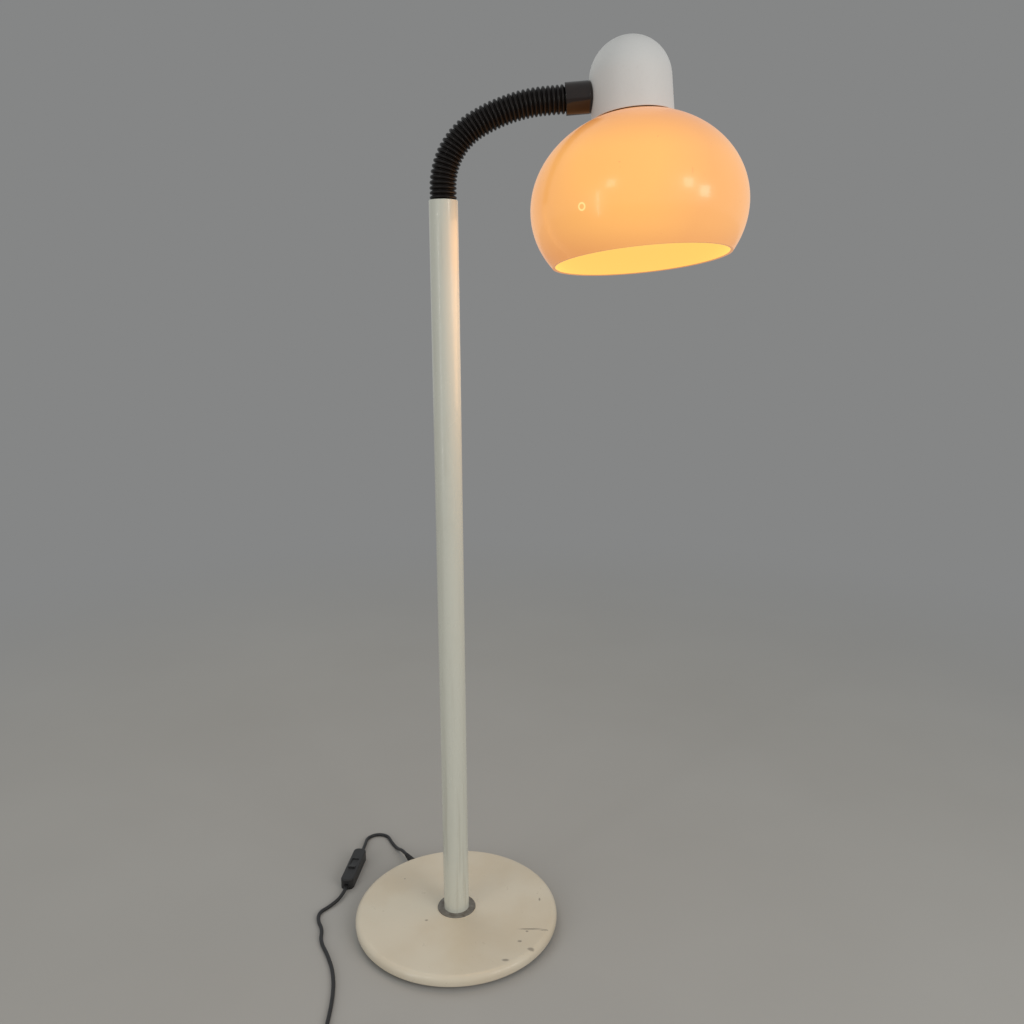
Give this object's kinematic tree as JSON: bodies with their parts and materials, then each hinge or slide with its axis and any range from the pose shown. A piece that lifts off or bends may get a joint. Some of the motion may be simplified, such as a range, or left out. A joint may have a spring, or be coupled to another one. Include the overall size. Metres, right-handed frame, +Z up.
{
  "type": "floor lamp",
  "caption": "Mushroom floor lamp: round weighted base, straight pole, ribbed gooseneck and a translucent shade on a swivelling head, with mains lead and inline switch.",
  "frame": {"origin": "centre of the base's underside, on the floor and on the pole's axis", "axes": "+Z up along the pole; +X the way the neck leans out, towards the head; +Y away from the front"},
  "size_m": [0.5518, 0.5087, 1.139],
  "materials": {
    "lacquer_cream": "gloss",
    "lacquer_white": "satin",
    "dark_grey_metal": "matte",
    "steel": "plain",
    "cast_iron": "rough",
    "felt": "felt",
    "sleeve_plastic": "gloss",
    "cuff_plastic": "gloss",
    "holder_plastic": "matte",
    "brass": "plain",
    "aluminium": "plain",
    "shade_acrylic": "gloss, translucent",
    "bulb_glass": "frosted",
    "cord_black": "satin",
    "lead_grey": "satin",
    "switch_black": "satin",
    "plug_metal": "nickel"
  },
  "bodies": {
    "stand": {"base_cover": "lacquer_cream", "base_weight": "cast_iron", "base_plate": "steel", "base_pad": "felt", "base_plate_screws": "steel", "foot_washer": "dark_grey_metal", "pole": "lacquer_white", "pole_foot_plug": "steel", "pole_bolt": "steel", "bolt_washer": "steel", "base_cable": "lead_grey", "cord_grip": "cord_black", "pole_top_bush": "aluminium", "neck_anchor_nut": "steel", "neck_sleeve_0": "sleeve_plastic", "neck_conduit_0": "steel", "neck_cable_0": "lead_grey", "cord_to_switch": "cord_black", "switch_base": "switch_black", "switch_cover": "switch_black", "switch_screws": "steel", "cord_to_coil": "cord_black", "cord_coil": "cord_black", "plug_body": "cord_black", "plug_pins": "plug_metal"},
    "neck_1": {"neck_sleeve_1": "sleeve_plastic", "neck_conduit_1": "steel", "neck_cable_1": "lead_grey"},
    "neck_2": {"neck_sleeve_2": "sleeve_plastic", "neck_conduit_2": "steel", "neck_cable_2": "lead_grey"},
    "neck_3": {"neck_sleeve_3": "sleeve_plastic", "neck_conduit_3": "steel", "neck_cable_3": "lead_grey"},
    "neck_4": {"neck_sleeve_4": "sleeve_plastic", "neck_conduit_4": "steel", "neck_cable_4": "lead_grey"},
    "neck_5": {"neck_sleeve_5": "sleeve_plastic", "neck_conduit_5": "steel", "neck_cable_5": "lead_grey", "end_ferrule": "aluminium", "friction_washer": "steel", "ferrule_nut": "steel"},
    "head": {"cuff": "cuff_plastic", "dome_cap": "lacquer_white", "holder_bracket": "steel", "holder_nipple": "steel", "nipple_nut": "steel", "head_leads": "lead_grey", "holder_cap": "holder_plastic", "holder_body": "holder_plastic", "holder_screw_shell": "brass", "holder_contact": "brass", "shade": "shade_acrylic", "shade_ring_upper": "holder_plastic", "shade_ring_lower": "holder_plastic", "lamp_glass": "bulb_glass", "lamp_base": "aluminium"},
    "rocker": {"switch_rocker": "switch_black"}
  },
  "joints": [
    {"name": "neck_bend_low", "type": "hinge", "parent": "stand", "child": "neck_1", "pos_m": [0.00104, 0, 0.98785], "axis": [0, 1, 0], "range_deg": [-12, 8], "deforming": ["neck_sleeve_0", "neck_sleeve_1"]},
    {"name": "neck_side_low", "type": "hinge", "parent": "neck_1", "child": "neck_2", "pos_m": [0.01545, 0, 1.02226], "axis": [-0.8068, 0, 0.5908], "range_deg": [-12, 12], "deforming": ["neck_sleeve_2"]},
    {"name": "neck_bend_mid", "type": "hinge", "parent": "neck_2", "child": "neck_3", "pos_m": [0.04388, 0, 1.04646], "axis": [0, 1, 0], "range_deg": [-12, 8], "deforming": ["neck_sleeve_3"]},
    {"name": "neck_side_high", "type": "hinge", "parent": "neck_3", "child": "neck_4", "pos_m": [0.07846, 0, 1.06123], "axis": [-0.3017, 0, 0.9534], "range_deg": [-12, 12], "deforming": ["neck_sleeve_4"]},
    {"name": "neck_bend_high", "type": "hinge", "parent": "neck_4", "child": "neck_5", "pos_m": [0.11525, 0, 1.06905], "axis": [0, 1, 0], "range_deg": [-12, 8], "deforming": ["neck_sleeve_5"]},
    {"name": "head_swivel", "type": "hinge", "parent": "neck_5", "child": "head", "pos_m": [0.14206, 0, 1.07124], "axis": [0.9971, 0, 0.0767], "range_deg": [-90, 90]},
    {"name": "switch_rocker_tip", "type": "hinge", "parent": "stand", "child": "rocker", "pos_m": [-0.163, 0.1085, 0.0132], "axis": [0.9949, -0.1011, 0], "range_deg": [0, 16]}
  ],
  "couplings": [
    {"joint": "neck_bend_mid", "follows": "neck_bend_low", "ratio": 1},
    {"joint": "neck_bend_high", "follows": "neck_bend_low", "ratio": 1},
    {"joint": "neck_side_high", "follows": "neck_side_low", "ratio": 1}
  ]
}
